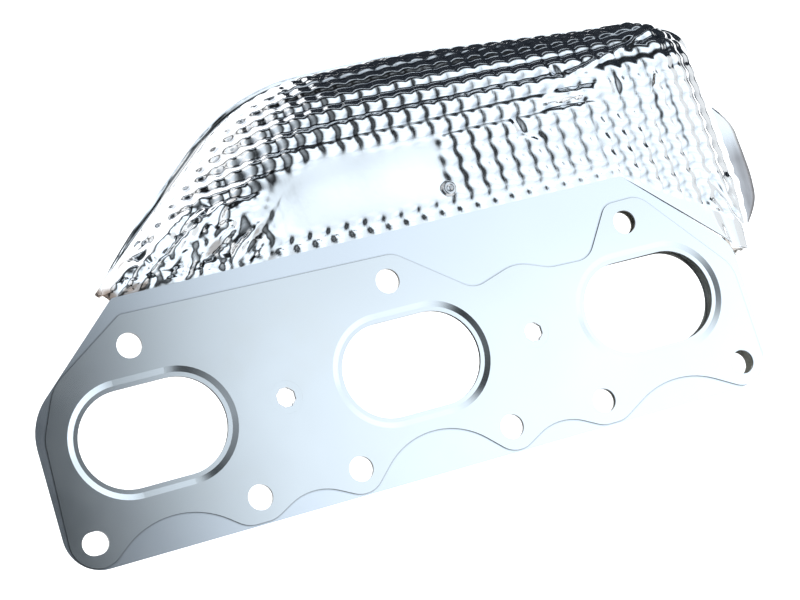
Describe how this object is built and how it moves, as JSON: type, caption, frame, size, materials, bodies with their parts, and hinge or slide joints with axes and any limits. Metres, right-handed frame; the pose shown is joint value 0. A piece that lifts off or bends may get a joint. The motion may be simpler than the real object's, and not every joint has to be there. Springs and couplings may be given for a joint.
{
  "type": "exhaust manifold gasket with heat shield",
  "caption": "Layered steel exhaust manifold gasket with a row of oval ports, stud holes and a dimpled heat shield hood along one edge.",
  "frame": {"origin": "centre of the middle oval port, on the face that seals against the cylinder head", "axes": "+Z out of the cylinder head side face, +X along the row of ports, +Y from the ports towards the hood; the hood hangs towards -Z, the manifold side"},
  "size_m": [0.2954, 0.1499, 0.0364],
  "materials": {
    "bright_steel": "satin rolled stainless steel",
    "shield_steel": "bright dimpled aluminised steel",
    "inner_skin": "dull heat-resistant sheet",
    "insulation": "pressed mineral fibre mat",
    "spacer_steel": "matt coated steel",
    "eyelet_steel": "stamped bare steel"
  },
  "bodies": {
    "root": {"front_bead_layer": "bright_steel", "shield_outer_skin": "shield_steel", "shield_insulation": "insulation", "shield_inner_skin": "inner_skin", "spacer_layer": "spacer_steel", "rear_bead_layer": "bright_steel", "clinch_eyelet_left": "eyelet_steel", "clinch_eyelet_right": "eyelet_steel", "shield_rivet": "eyelet_steel"}
  },
  "joints": []
}
